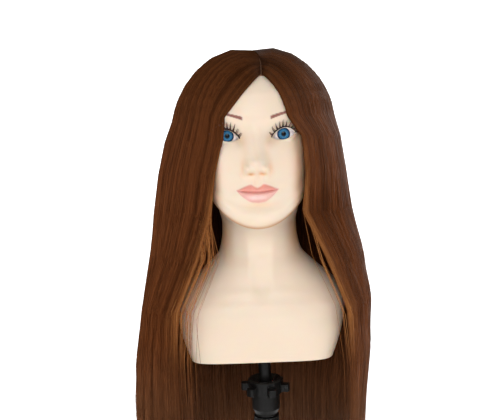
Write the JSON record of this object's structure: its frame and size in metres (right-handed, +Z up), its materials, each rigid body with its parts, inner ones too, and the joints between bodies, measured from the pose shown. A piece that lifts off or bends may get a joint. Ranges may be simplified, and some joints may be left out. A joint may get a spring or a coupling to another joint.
{
  "type": "mannequin training head",
  "caption": "Female styling head with long straight hair, on a post, ball joint and swivel, held to a table edge by a screw clamp.",
  "frame": {"origin": "on the underside of the clamp's upper jaw pad, on the post's axis, so the table top lies at Z = 0", "axes": "+Z up along the post, the face looks towards -Y, +X to the head's own left"},
  "size_m": [0.3034, 0.2215, 0.697],
  "materials": {
    "clamp_plastic": "black moulded nylon, fine spark-eroded texture",
    "ring_plastic": "black moulded nylon, satin",
    "foot_plastic": "black moulded plastic, satin",
    "seat_plastic": "natural acetal",
    "plate_plastic": "dark grey pressed board",
    "pad_rubber": "ribbed rubber",
    "insert_brass": "turned",
    "screw_steel": "zinc plated",
    "core_foam": "cast polyurethane foam",
    "vinyl_skin": "soft vinyl, satin, painted brows, cheeks and lips",
    "scalp_net": "fine hair net",
    "eye": "clear acrylic over a painted blue iris",
    "lash": "fine dark fibre",
    "hair": "straight dark brown hair, amber where thin"
  },
  "bodies": {
    "clamp": {"clamp_frame": "clamp_plastic", "jaw_pad": "pad_rubber", "thread_insert": "insert_brass"},
    "foot": {"pressure_pad": "foot_plastic", "pad_rubber": "pad_rubber"},
    "screw": {"clamp_screw": "screw_steel"},
    "bar": {"tommy_bar": "screw_steel", "tommy_bar_caps": "foot_plastic"},
    "swivel": {"cup_body": "clamp_plastic", "ball_seat": "seat_plastic", "retaining_screw": "screw_steel", "retaining_washer": "screw_steel"},
    "ring": {"lock_ring": "ring_plastic"},
    "post": {"post": "clamp_plastic"},
    "head": {"head_shell": "vinyl_skin", "foam_core": "core_foam", "base_plate": "plate_plastic", "base_screws": "screw_steel", "socket_sleeve": "seat_plastic", "scalp_cap": "scalp_net", "left_eye": "eye", "right_eye": "eye", "left_lashes": "lash", "right_lashes": "lash", "hair_crown": "hair", "hair_back": "hair", "hair_left": "hair", "hair_right": "hair"}
  },
  "joints": [
    {"name": "base_swivel", "type": "hinge", "parent": "clamp", "child": "swivel", "pos_m": [0, 0, 0.08], "axis": [0, 0, 1], "continuous": true},
    {"name": "lock_ring_turn", "type": "hinge", "parent": "swivel", "child": "ring", "pos_m": [0, 0, 0.136], "axis": [0, 0, 1], "range_deg": [0, 120]},
    {"name": "head_tilt", "type": "hinge", "parent": "swivel", "child": "post", "pos_m": [0, 0, 0.136], "axis": [1, 0, 0], "range_deg": [-20, 20]},
    {"name": "head_turn", "type": "hinge", "parent": "post", "child": "head", "pos_m": [0, 0, 0.225], "axis": [0, 0, 1], "continuous": true},
    {"name": "pad_travel", "type": "slide", "parent": "clamp", "child": "foot", "axis": [0, 0, 1], "range_m": [-0.01, 0.028]},
    {"name": "screw_turn", "type": "hinge", "parent": "foot", "child": "screw", "pos_m": [0, 0, -0.0395], "axis": [0, 0, 1], "range_deg": [-1210, 3370]},
    {"name": "bar_slide", "type": "slide", "parent": "screw", "child": "bar", "axis": [1, 0, 0], "range_m": [-0.032, 0.032]}
  ],
  "couplings": [
    {"joint": "screw_turn", "follows": "pad_travel", "rad_per_m": 2094.4}
  ]
}
